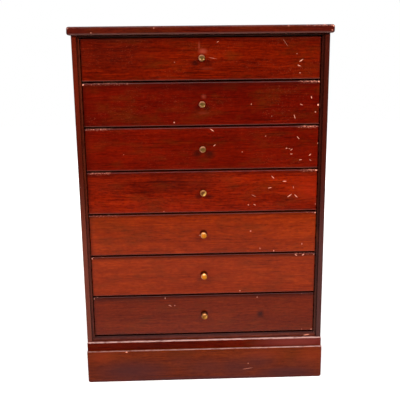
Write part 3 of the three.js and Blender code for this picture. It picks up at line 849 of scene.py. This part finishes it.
def top_board():
    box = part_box("top_board")
    low, high = box
    plan = top_plan(low, high)
    rising = [(TOP_EDGE * (1 - math.cos(turn)), TOP_EDGE * (1 - math.sin(turn))) for turn in QUARTER_TURNS]
    rising.append((TOP_EDGE + EASE_SUPPORT, 0.0))
    levels = [(inset, low.z + fall) for inset, fall in reversed(rising)]
    levels += [(inset, high.z - fall) for inset, fall in rising]
    bm = bmesh.new()
    rings = []
    for inset, z in levels:
        ring = []
        for x, y, out_x, out_y in plan:
            worn = inset + broken_out(x / CHIP_SPACING, y / CHIP_SPACING, z / CHIP_SPACING)
            ring.append(bm.verts.new((x - worn * out_x, y - worn * out_y, z)))
        rings.append(ring)
    skin(bm, rings, closed=True)
    bm.faces.new(rings[0][::-1])
    bm.faces.new(rings[-1])
    bmesh.ops.recalc_face_normals(bm, faces=bm.faces)
    coats = [
        (stains_and_painted_light, box, TOP_STAINS, TOP_STAIN),
        (painted_edge_light, box, "lower", *TOP_LOWER_REFLECTION),
        (rubbed_edge, box, TOP_CHIPS, TOP_WORN),
        (scratches, box, TOP_MARKS),
    ]
    polish = french_polished("top", TOP_TONE, seed=11, coats=coats)
    dress(to_object("top_board_polished", bm), polish, "carcase", "polished_mahogany", "top_board")


# Plinth board, with its lower corners worn round

PLINTH_EASE = (1.25 * MM, 1.25 * MM, 0, 2.5 * MM)
PLINTH_CORNER = 4 * MM
PLINTH_TONE = "#6a2104"
PLINTH_LEDGE = (0.8, 5.5, (0.3, 0.75))
PLINTH_MARKS = ((343, 23, 24, 1.2, 8, 0.5), (344, 35, 3, 2, 0, 0.5), (84, 68, 5, 3, 0, 0.9))
PLINTH_DARK = "#402023"
PLINTH_BRIGHT = "#9a3414"
PLINTH_DARK_SPOTS = (
    (95, 22, 150, 46, 0, 0.65), (320, 24, 90, 46, 0, 0.5), (430, 10, 150, 30, 0, 0.7),
    (250, 3, 560, 9, 0, 0.7), (200, 40, 60, 30, 0, 0.25), (255, 26, 110, 40, 0, 0.4),
    (363, 38, 80, 40, 0, 0.45), (460, 24, 110, 40, 0, 0.25),
)
PLINTH_BRIGHT_SPOTS = ((25, 58, 50, 26, 0, 0.35), (480, 50, 56, 34, 0, 0.3), (380, 56, 90, 20, 0, 0.25))


def plinth_board():
    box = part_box("plinth_board")
    board = eased_board("plinth_board_polished", box, PLINTH_EASE, PLINTH_MARKS, 8, PLINTH_CORNER)
    coats = [
        (stains_and_painted_light, box, PLINTH_DARK_SPOTS, PLINTH_DARK),
        (stains_and_painted_light, box, PLINTH_BRIGHT_SPOTS, PLINTH_BRIGHT),
        (worn_and_lit_ledge, box, *PLINTH_LEDGE),
        (scratches, box, PLINTH_MARKS),
    ]
    polish = french_polished("plinth", PLINTH_TONE, seed=8, figure=0.8, coats=coats, specular=0.1,
                             roughness=0.18)
    dress(board, polish, "carcase", "polished_mahogany", "plinth_board")


# Geometry Nodes: a tree's modifier, and the points that it works from

def grow(made, tree, values):
    """Runs a tree on an object, with its inputs set by name, and keeps the result as a plain mesh."""
    modifier = made.modifiers.new(tree.name, "NODES")
    modifier.node_group = tree
    sockets = {item.name: item.identifier for item in tree.interface.items_tree if item.in_out == "INPUT"}
    for name, value in values.items():
        modifier[sockets[name]] = value
    plain_mesh(made)


def ended(add, made, finish):
    """Ends a tree: everything made single and given its material."""
    single = add("GeometryNodeRealizeInstances", (made,))
    coated = add("GeometryNodeSetMaterial", {"Geometry": single, "Material": finish})
    add("NodeGroupOutput", (coated,), out=None)


def points_object(name, points, facing=None):
    """An object that holds bare points, each with the way that it faces if that is given."""
    mesh = bpy.data.meshes.new(name)
    mesh.from_pydata([tuple(point) for point in points], [], [])
    if facing:
        ways = mesh.attributes.new("facing", "FLOAT_VECTOR", "POINT")
        ways.data.foreach_set("vector", [value for way in facing for value in way])
    return in_scene(name, mesh)


def typed(sockets, name, kind):
    """The socket of this name and kind, where a node has several of the name."""
    return next(socket for socket in sockets if socket.name == name and socket.type == kind)


# Knobs, turned from a profile about their own axis; sizes in mm

KNOB_SIDES = 64
KNOB_HEAD = 6.2
KNOB_REACH = 14.0
KNOB_HEAD_DEPTH = 4.5
KNOB_FACE = 4.4
KNOB_ROUND = 0.6
KNOB_DISH = 0.55
DISH_CURVE = ((0.0, 0.8), (0.3, 0.95), (0.6, 1.0), (0.78, 0.8), (0.9, 0.25), (1.0, 0.0))
KNOB_NECK = 3.5
KNOB_NECK_END = 1.76
KNOB_COVE = 3.0
KNOB_FOOT = 4.6
KNOB_BEAD = 0.8
KNOB_GAP = 0.25
SHANK = 2.0
SHANK_END = -18.25
KNOB_SEAM = 0.005


def arc(centre, radius, start, stop, steps):
    """Points of an arc as (distance from the axis, distance along it), from start to stop in degrees."""
    turns = [math.radians(turn) for turn in evenly(start, stop, steps + 1)]
    return [(centre[0] + radius * math.cos(turn), centre[1] + radius * math.sin(turn)) for turn in turns]


def knob_profile():
    """Half section of the knob, from the middle of its dished face to its shank, out from the front."""
    back = KNOB_REACH - KNOB_HEAD_DEPTH
    side = KNOB_HEAD - KNOB_ROUND
    chamfer_end = KNOB_REACH - side + KNOB_FACE - math.sqrt(2) * KNOB_ROUND
    profile = [(share * KNOB_FACE, KNOB_REACH - depth * KNOB_DISH) for share, depth in DISH_CURVE]
    profile += arc((side, chamfer_end), KNOB_ROUND, 45, 0, 4)
    profile += arc((side, back + KNOB_ROUND), KNOB_ROUND, 0, -90, 4)
    profile += arc((KNOB_NECK + KNOB_COVE, back - KNOB_COVE), KNOB_COVE, 92, 180, 7)
    profile += [(KNOB_NECK, KNOB_GAP + KNOB_NECK_END)]
    profile += arc((KNOB_FOOT - KNOB_BEAD, KNOB_GAP + KNOB_BEAD), KNOB_BEAD, 100, 0, 5)
    return profile + [(KNOB_FOOT, KNOB_GAP), (SHANK, KNOB_GAP), (SHANK, SHANK_END)]


def turned_tree():
    """Turns a row of points (radius, distance) about the Y axis of its place."""
    tree, add, given = new_tree("Geometry", "turned_from_profile", {
        "Profile": "Geometry", "Sides": "Int", "Place": "Vector", "Finish": "Material",
    }, "Geometry")
    profile = given["Profile"]
    count = add("GeometryNodeAttributeDomainSize", (profile,), out="Point Count", component="MESH")
    columns = add("Math", (given["Sides"], 1.0), operation="ADD")
    grid = add("GeometryNodeMeshGrid", {"Vertices X": count, "Vertices Y": columns})
    index = add("GeometryNodeInputIndex")
    row = add("Math", (index, columns), operation="DIVIDE")
    row = add("Math", (row,), operation="FLOOR")
    column = add("Math", (index, product(add, row, columns)), operation="SUBTRACT")
    turn = add("Math", (product(add, column, math.tau), given["Sides"]), operation="DIVIDE")
    sampled = add("GeometryNodeSampleIndex", {"Geometry": profile, "Index": row}, out=None,
                  data_type="FLOAT_VECTOR", domain="POINT")
    value = typed(sampled[0].node.inputs, "Value", "VECTOR")
    tree.links.new(add("GeometryNodeInputPosition"), value)
    radius, distance, _ = add("SeparateXYZ", (typed(sampled, "Value", "VECTOR"),), out=None)
    x, z = [product(add, radius, add("Math", (turn,), operation=way)) for way in ("COSINE", "SINE")]
    around = add("CombineXYZ", (x, distance, z))
    placed = add("VectorMath", (around, given["Place"]), operation="ADD")
    bent = add("GeometryNodeSetPosition", {"Geometry": grid, "Position": placed})
    closed = add("GeometryNodeMergeByDistance", {"Geometry": bent, "Distance": KNOB_SEAM * MM})
    ended(add, closed, given["Finish"])
    return tree


turned_from_profile = turned_tree()

# Face, rim, painted reflection on the lower right side and tarnish of each knob, how much of it is brown,
# and its gloss
BROWN_KNOB = ("#84602c", "#c4805c", "#94682f", "#4a3418", 0.3, 0.25)
CRESCENT_KNOB = ("#80481a", "#b0703c", "#ffcc68", "#4a2c14", 0.3, 0.42)
MIXED_KNOB = ("#a8681c", "#c8844c", "#ffb450", "#6a3a1c", 0.4, 0.12)
GOLD_KNOB = ("#ff941c", "#ffb070", "#ffa024", "#9a5410", 0.45, 0.1)
KNOBS = (BROWN_KNOB, BROWN_KNOB, BROWN_KNOB, CRESCENT_KNOB, GOLD_KNOB, GOLD_KNOB, MIXED_KNOB)


def knob(number):
    body = f"drawer_{number}"
    node = f"{body}_knob"
    centre = middle_of(node)
    axis = Vector((centre.x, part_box(f"{body}_front")[0].y, centre.z))
    made = points_object(f"{node}_turned", [(radius * MM, -out * MM, 0) for radius, out in knob_profile()])
    brass = turned_brass(number, axis, *KNOBS[number - 1])
    grow(made, turned_from_profile, {"Sides": KNOB_SIDES, "Place": axis, "Finish": brass})
    bm = bmesh.new()
    bm.from_mesh(made.data)
    bmesh.ops.holes_fill(bm, edges=bm.edges)
    bmesh.ops.recalc_face_normals(bm, faces=bm.faces)
    bm.to_mesh(made.data)
    bm.free()
    smooth(made.data)
    dress(made, brass, body, "brass", node)


# Screws and pins, set on points that face outwards; a head is its radius and height in mm

HEAD_SIDES = 20
HEAD_TOP_SHARE = 0.86
SLOT_LENGTH_SHARE = 2.4
SLOT_WIDTH_SHARE = 0.28
SLOT_DEPTH_SHARE = 0.5
PIN_HEAD = (2.4, 0.5)
SMALL_HEAD = (2.8, 0.6)
RAIL_HEAD = (3.2, 0.8)
KNOB_SCREW_HEAD = (4.3, 2.2)
KNOB_SCREW_PROUD = 1.5 * MM
HEAD_PROUD = 0.15 * MM
PIN_INSET = 4.5 * MM
PIN_SPACING = 62 * MM
PIN_SUNK = 0.35 * MM
RUNNER_LIFT = 0.2 * MM
RUNNER_INSET = 30 * MM
RUNNER_SCREWS = 3
RAIL_INSET = 60 * MM
RAIL_SCREWS = 4
BOTTOM_INSET = 70 * MM
BOTTOM_SCREWS = 3


def fastener_tree():
    """A round head with a slot, set at each point and turned at random about its axis."""
    tree, add, given = new_tree("Geometry", "slotted_heads", {
        "Points": "Geometry", "Head radius": "Float", "Head height": "Float", "Slot width": "Float",
        "Slot depth": "Float", "Sides": "Int", "Seed": "Int", "Finish": "Material",
    }, "Geometry")
    radius, height = given["Head radius"], given["Head height"]
    head = add("GeometryNodeMeshCone", {
        "Vertices": given["Sides"], "Radius Bottom": radius,
        "Radius Top": product(add, radius, HEAD_TOP_SHARE), "Depth": height,
    })
    length = product(add, radius, SLOT_LENGTH_SHARE)
    size = add("CombineXYZ", (length, given["Slot width"], product(add, given["Slot depth"], 2)))
    slot = add("GeometryNodeMeshCube", {"Size": size})
    lift = add("CombineXYZ", {"Z": height})
    raised = add("GeometryNodeTransform", {"Geometry": slot, "Translation": lift})
    slotted = add("GeometryNodeMeshBoolean", (head, raised), operation="DIFFERENCE")
    facing = add("GeometryNodeInputNamedAttribute", {"Name": "facing"}, data_type="FLOAT_VECTOR")
    way = add("FunctionNodeAlignRotationToVector", {"Vector": facing}, axis="Z")
    drawn = add("FunctionNodeRandomValue", {"Seed": given["Seed"]}, out=None, data_type="FLOAT")
    for name, limit in (("Min", 0.0), ("Max", math.pi)):
        typed(drawn[0].node.inputs, name, "VALUE").default_value = limit
    spin = typed(drawn, "Value", "VALUE")
    about = add("FunctionNodeAxisAngleToRotation", {"Axis": (0, 0, 1), "Angle": spin})
    turned = add("FunctionNodeRotateRotation", {"Rotation": way, "Rotate By": about}, rotation_space="LOCAL")
    inputs = {"Points": given["Points"], "Instance": slotted, "Rotation": turned}
    placed = add("GeometryNodeInstanceOnPoints", inputs)
    ended(add, placed, given["Finish"])
    return tree


slotted_heads = fastener_tree()
steel = zinc_steel("zinc_plated_steel_screws")


def fasteners(name, body, places, ways, head, seed):
    """Slotted heads at these places on one body, each facing its own way."""
    radius, height = [size * MM for size in head]
    made = points_object(name, places, ways)
    grow(made, slotted_heads, {
        "Head radius": radius, "Head height": height, "Slot width": SLOT_WIDTH_SHARE * radius,
        "Slot depth": SLOT_DEPTH_SHARE * height, "Sides": HEAD_SIDES, "Seed": seed, "Finish": steel,
    })
    dress(made, steel, body, "brass")


def back_pins():
    """Pins round the edge of the back panel."""
    low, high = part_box("back_panel")
    y = high.y - PIN_SUNK
    left, right = low.x + PIN_INSET, high.x - PIN_INSET
    bottom, top = low.z + PIN_INSET, high.z - PIN_INSET
    across = evenly(left, right, round((right - left) / PIN_SPACING) + 1)
    up = evenly(bottom, top, round((top - bottom) / PIN_SPACING) + 1)[1:-1]
    places = [(x, y, z) for x in across for z in (bottom, top)]
    places += [(x, y, z) for z in up for x in (left, right)]
    fasteners("back_panel_pins", "carcase", places, [(0, 1, 0)] * len(places), PIN_HEAD, 3)


def runner_screws():
    """Three screws through each runner into the carcase side."""
    places = []
    ways = []
    for hand, way in HANDS.items():
        low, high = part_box(f"carcase_side_{hand}")
        face = low.x if way > 0 else high.x
        for number in DRAWERS:
            side_low, side_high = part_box(f"drawer_{number}_side_{hand}")
            level = (side_low.z + side_high.z) / 2 + RUNNER_LIFT
            for y in evenly(side_low.y + 2 * RUNNER_INSET, side_high.y - RUNNER_INSET, RUNNER_SCREWS):
                places.append((face + way * HEAD_PROUD, y, level))
                ways.append((-way, 0, 0))
    fasteners("runner_screws", "carcase", places, ways, SMALL_HEAD, 5)


def screws_up(name, body, nodes, level, row, head, seed):
    """Screws up from a level, in a row under each of these nodes: how far in it starts, and their number."""
    inset, count = row
    places = []
    for node in nodes:
        low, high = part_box(node)
        places += [(x, (low.y + high.y) / 2, level) for x in evenly(low.x + inset, high.x - inset, count)]
    fasteners(name, body, places, [(0, 0, -1)] * len(places), head, seed)


def top_rail_screws():
    """Screws up through the top rails into the top board."""
    rails = ("top_rail_front", "top_rail_back")
    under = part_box(rails[0])[0].z
    screws_up("top_rail_screws", "carcase", rails, under, (RAIL_INSET, RAIL_SCREWS), RAIL_HEAD, 7)


def drawer_screws(number):
    """The knob's screw head inside the front, and three screws that hold the bottom under the back."""
    body = f"drawer_{number}"
    centre = middle_of(f"{body}_knob")
    head = (centre.x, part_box(f"{body}_front")[1].y + KNOB_SCREW_PROUD, centre.z)
    fasteners(f"{body}_knob_screw", body, [head], [(0, 1, 0)], KNOB_SCREW_HEAD, 10 + number)
    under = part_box(f"{body}_bottom")[0].z
    name = f"{body}_bottom_screws"
    screws_up(name, body, [f"{body}_back"], under, (BOTTOM_INSET, BOTTOM_SCREWS), SMALL_HEAD, 20 + number)


# Finishes of the model's own pieces. Each polished one has the name of its finish, its tone, its grain, its
# seed, how strongly it mirrors and its coats.

CARCASE_POLISH = {
    # The right and top strips are toned darker than the left one as painted shade, and the bottom strip's
    # upper edge is darkened as painted shade below the lowest drawer.
    "frame_strip_left": ("strip_left", "#50190c", "z", 24, 0.25, ()),
    "frame_strip_right": ("strip_right", "#3a140c", "z", 25, 0.25, ()),
    "frame_strip_top": ("strip_top", "#3a140c", "x", 26, 0.25, ()),
    "frame_strip_bottom": ("strip_bottom", "#5e2216", "x", 27, 0.25, (
        (painted_edge_light, "upper", 5, 0.9), (scratches, ((462, 3, 14, 2.6, 7, 0.9),)),
    )),
    "base_rail_front": ("base_rail", "#580f03", "x", 28, 0.02, (
        (stains_and_painted_light, ((140, 78, 160, 22, 0, 0.4),), STAIN_AND_SHADE_BROWN),
        # The pale patch at the right end of the rail is a painted sheen.
        (stains_and_painted_light, ((450, 78, 150, 26, 0, 0.6),), "#8c3c34"),
        (worn_and_lit_ledge, 0.7, 7.5, (0.85, 1.1)),
    )),
}
BEECH_RAILS = ("top_rail_front", "top_rail_back", "base_rail_back")
BEECH_BLOCKS = [f"corner_block_{row}_{hand}" for row in ("front", "back") for hand in HANDS]

# Carcase sides: the plane of the raw wood, each side's seed, the tone of its front edge, darker on the right
# as painted shade, the colour of its pale haze, partly bloom in the polish and partly a painted reflection
# of the floor, how much there is of it, and its stains
SIDE_TONE = "#66190a"
SIDE_INNER = 236 * MM
RUNNER_THICKNESS = 5 * MM
EDGE_DEPTH = 5
EDGE_SHARE = 0.8
SIDES = {
    "left": (20, "#5c1808", "#e0a080", 0.055, ((8, 455, 60, 190, 0, 0.45),)),
    "right": (21, "#38120a", "#c9a7a4", 0.035, ()),
}


def refinish(node, material):
    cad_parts[node].data.materials.clear()
    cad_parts[node].data.materials.append(material)


def side_finish(hand):
    """Carcase side: polished outside, raw on its inner face, with its beech runners."""
    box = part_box(f"carcase_side_{hand}")
    way = HANDS[hand]
    seed, edge_tone, haze_tone, share, spots = SIDES[hand]
    runner_face = -box[1].x if way < 0 else box[0].x
    coats = [
        (raw_inside, way, SIDE_INNER, RAW_MAHOGANY),
        (raw_inside, way, abs(runner_face) + RUNNER_THICKNESS, BEECH),
        (front_edge, box, EDGE_DEPTH, edge_tone, EDGE_SHARE),
        (stains_and_painted_light, box, spots, STAIN_AND_SHADE_BROWN),
        (bloom_and_sheen, box, EDGE_DEPTH, haze_tone, share),
    ]
    return french_polished(f"side_{hand}", SIDE_TONE, "z", seed, coats=coats)


def plywood(node, name, grain, seed, axis, layer):
    """Birch-faced plywood, with its layers on this axis, each so many mm thick."""
    start = getattr(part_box(node)[0], axis.lower())
    refinish(node, planed_wood(f"birch_plywood_{name}", PLY_FACE, grain, seed, (axis, start, layer * MM)))


def finish_carcase():
    for hand in HANDS:
        refinish(f"carcase_side_{hand}", side_finish(hand))
    for node, (name, tone, grain, seed, specular, coats) in CARCASE_POLISH.items():
        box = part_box(node)
        coats = [(coat, box, *about) for coat, *about in coats]
        refinish(node, french_polished(name, tone, grain, seed, coats=coats, specular=specular))
    for name, grain, seed, nodes in (("across", "x", 3, BEECH_RAILS), ("up", "z", 4, BEECH_BLOCKS)):
        beech = planed_wood(f"planed_beech_{name}", BEECH, grain, seed)
        for node in nodes:
            refinish(node, beech)
    plywood("bottom_board", "bottom_board", "x", 5, "Z", 2)
    plywood("back_panel", "back_panel", "z", 6, "Y", 1.2)


def finish_drawer(number):
    body = f"drawer_{number}"
    beech = planed_wood(f"planed_beech_sides_{number}", BEECH, "y", 10 + number)
    for hand in HANDS:
        refinish(f"{body}_side_{hand}", beech)
    refinish(f"{body}_back", planed_wood(f"planed_beech_back_{number}", BEECH, "x", 20 + number))
    plywood(f"{body}_bottom", f"drawer_bottom_{number}", "x", 30 + number, "Z", 0.8)


# Studio: floor, lamps, sky and camera. Mirrored in the polish, the floor is a pool of light round the
# cabinet, and the room beyond it in front is dark. Reaches are in metres.

FLOOR_REACH = 6.0
PAPER = (0.8, 0.8, 0.8, 1)
FLOOR_GLOW_SEEN = (0.6, 1.6, 0.58, 1.0)
POOL_EDGE = (1.9, 1.1, 0.0, 0.5)
POOL_MIDDLE = (0.6, 0.2, 0.0, 0.6)
SKY_LIGHT = 0.1
DARK_SIDE = 0.004
ROOM_BEHIND = (-0.15, 0.35, DARK_SIDE, 1.0)
CEILING = (0.45, 0.9, 0.0, 1.0)


def mirror_rays(add):
    """1 on a ray that a reflection or a view through glass sends to the floor or the sky."""
    path = add("LightPath", out=None)
    return add("Math", (path["Is Glossy Ray"], path["Is Transmission Ray"]), operation="MAXIMUM")


def studio_floor():
    bm = bmesh.new()
    bmesh.ops.create_grid(bm, x_segments=1, y_segments=1, size=FLOOR_REACH)
    bm.transform(Matrix.Translation((0, 0, cad_bounds[0].z)))
    floor = to_object("studio_floor", bm)
    material, add, place = new_material("white_paper")
    camera_ray = add("LightPath", out="Is Camera Ray")
    away = add("VectorMath", (place,), out="Value", operation="LENGTH")
    pool = [add("MapRange", (away, *part)) for part in (POOL_EDGE, POOL_MIDDLE)]
    paper = add("BsdfDiffuse", {"Color": PAPER})
    bright = add("MapRange", (away, *FLOOR_GLOW_SEEN))
    glow = add("Emission", {"Strength": product(add, camera_ray, bright)})
    reflected = add("Emission", {"Strength": add("Math", pool, operation="ADD")})
    both = add("MixShader", (mirror_rays(add), add("AddShader", (paper, glow)), reflected))
    add("OutputMaterial", {"Surface": both}, out=None)
    floor.data.materials.append(material)


def sky():
    """White seen directly and behind the cabinet in a mirror; a soft light on the object."""
    world = bpy.data.worlds.new("studio_sky")
    bpy.context.scene.world = world
    world.use_nodes = True
    world.node_tree.nodes.clear()
    add = functools.partial(add_node, world.node_tree)
    camera_ray = add("LightPath", out="Is Camera Ray")
    _, y, z = add("SeparateXYZ", (add("TexCoord", out="Generated"),), out=None)
    parts = [add("MapRange", (y, *ROOM_BEHIND)), add("MapRange", (z, *CEILING))]
    mirror = add("Math", parts, operation="MAXIMUM")
    extra = add("Math", (mirror, SKY_LIGHT), operation="SUBTRACT")
    soft = add("Math", (mirror_rays(add), extra, SKY_LIGHT), operation="MULTIPLY_ADD")
    strength = add("Math", (camera_ray, soft), operation="MAXIMUM")
    light = add("Background", {"Color": (1, 1, 1, 1), "Strength": strength})
    add("OutputWorld", {"Surface": light}, out=None)


# Each lamp: its place, what it points at, the sides of its rectangle in metres, its power in watts.
# The back lamps would be a white patch in the polish of the top, so no mirror shows them.
LAMPS = {
    "soft_lamp_left": ((-1.65, -2.2, 1.95), (0, 0, 0.4), (0.6, 0.6), 50),
    "soft_lamp_right": ((1.65, -2.15, 1.9), (0, 0, 0.4), (0.6, 0.6), 52),
    "softbox_above": ((0, -0.9, 2.2), (0, -0.9, 0), (1.8, 0.4), 12),
    "back_lamp_left": ((-1.6, 2.3, 1.8), (0, 0, 0.4), (1.8, 1.8), 34),
    "back_lamp_right": ((1.6, 2.3, 1.8), (0, 0, 0.4), (1.8, 1.8), 34),
}


def lamps():
    for name, (place, target, sides, power) in LAMPS.items():
        data = bpy.data.lights.new(name, "AREA")
        data.shape = "RECTANGLE"
        data.size, data.size_y = sides
        data.energy = power
        lamp = in_scene(name, data)
        lamp.visible_glossy = not name.startswith("back")
        lamp.location = place
        lamp.rotation_euler = (Vector(target) - Vector(place)).to_track_quat("-Z", "Y").to_euler()


CAMERA_PLACE = Vector((-0.04195, -1.37578, 0.65354))
CAMERA_PITCH = math.radians(12.228)
CAMERA_YAW = math.radians(1.696)
CAMERA_ROLL = math.radians(-0.696)
CAMERA_LENS = 54
CAMERA_SENSOR = 36


def camera():
    data = bpy.data.cameras.new("camera")
    data.lens = CAMERA_LENS
    data.sensor_width = CAMERA_SENSOR
    made = in_scene("camera", data)
    turn = Matrix.Rotation(-CAMERA_YAW, 4, "Z") @ Matrix.Rotation(math.pi / 2 - CAMERA_PITCH, 4, "X")
    made.matrix_world = Matrix.Translation(CAMERA_PLACE) @ turn @ Matrix.Rotation(CAMERA_ROLL, 4, "Z")
    bpy.context.scene.camera = made


bpy.context.scene.view_settings.view_transform = "Standard"
camera()
lamps()
sky()
studio_floor()

finish_carcase()
top_board()
plinth_board()
back_pins()
runner_screws()
top_rail_screws()
for number in DRAWERS:
    finish_drawer(number)
    drawer_front(number)
    knob(number)
    drawer_screws(number)
